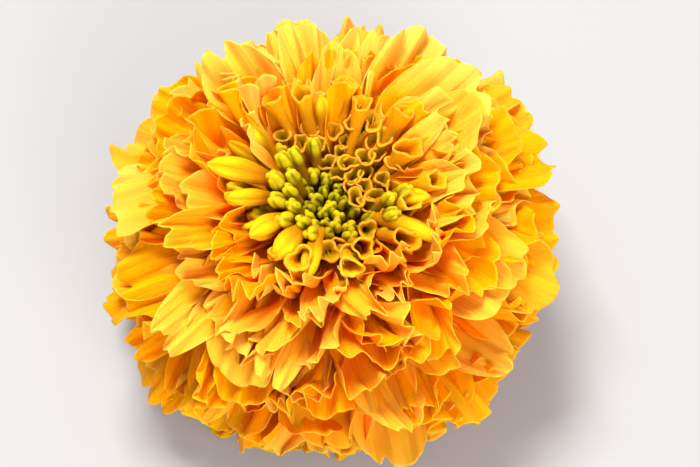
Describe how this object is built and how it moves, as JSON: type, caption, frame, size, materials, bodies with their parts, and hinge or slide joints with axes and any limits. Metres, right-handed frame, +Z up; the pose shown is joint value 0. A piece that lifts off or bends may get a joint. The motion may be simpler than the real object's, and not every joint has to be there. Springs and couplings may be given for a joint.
{
  "type": "marigold flower",
  "caption": "Picked double marigold head: ruffled ray petals and quilled florets round a packed green-gold middle, on a toothed green cup and a short cut stalk.",
  "frame": {"origin": "on the table, under the middle of the head's box", "axes": "+Z up, out of the middle of the flower's face; +X and +Y across the head"},
  "size_m": [0.0892, 0.0906, 0.0603],
  "materials": {
    "ray_petal": "satin",
    "quilled_petal": "satin",
    "disc_floret": "satin",
    "involucre": "satin",
    "receptacle": "matte",
    "stalk": "satin"
  },
  "bodies": {
    "root": {"disc_florets": "disc_floret", "flower_stalk": "stalk", "involucre": "involucre", "quilled_01": "quilled_petal", "quilled_02": "quilled_petal", "quilled_03": "quilled_petal", "quilled_04": "quilled_petal", "quilled_05": "quilled_petal", "quilled_06": "quilled_petal", "quilled_07": "quilled_petal", "quilled_08": "quilled_petal", "quilled_09": "quilled_petal", "ray_inner_01": "ray_petal", "ray_inner_02": "ray_petal", "ray_inner_03": "ray_petal", "ray_inner_04": "ray_petal", "ray_inner_05": "ray_petal", "ray_inner_06": "ray_petal", "ray_inner_07": "ray_petal", "ray_inner_08": "ray_petal", "ray_inner_09": "ray_petal", "ray_lower_01": "ray_petal", "ray_lower_02": "ray_petal", "ray_lower_03": "ray_petal", "ray_lower_04": "ray_petal", "ray_lower_05": "ray_petal", "ray_lower_06": "ray_petal", "ray_lower_07": "ray_petal", "ray_lower_08": "ray_petal", "ray_lower_09": "ray_petal", "ray_middle_01": "ray_petal", "ray_middle_02": "ray_petal", "ray_middle_03": "ray_petal", "ray_middle_04": "ray_petal", "ray_middle_05": "ray_petal", "ray_middle_06": "ray_petal", "ray_middle_07": "ray_petal", "ray_middle_08": "ray_petal", "ray_middle_09": "ray_petal", "ray_outer_01": "ray_petal", "ray_outer_02": "ray_petal", "ray_outer_03": "ray_petal", "ray_outer_04": "ray_petal", "ray_outer_05": "ray_petal", "ray_outer_06": "ray_petal", "ray_outer_07": "ray_petal", "ray_outer_08": "ray_petal", "ray_outer_09": "ray_petal", "ray_upper_01": "ray_petal", "ray_upper_02": "ray_petal", "ray_upper_03": "ray_petal", "ray_upper_04": "ray_petal", "ray_upper_05": "ray_petal", "ray_upper_06": "ray_petal", "ray_upper_07": "ray_petal", "ray_upper_08": "ray_petal", "ray_upper_09": "ray_petal", "receptacle": "receptacle"}
  },
  "joints": []
}
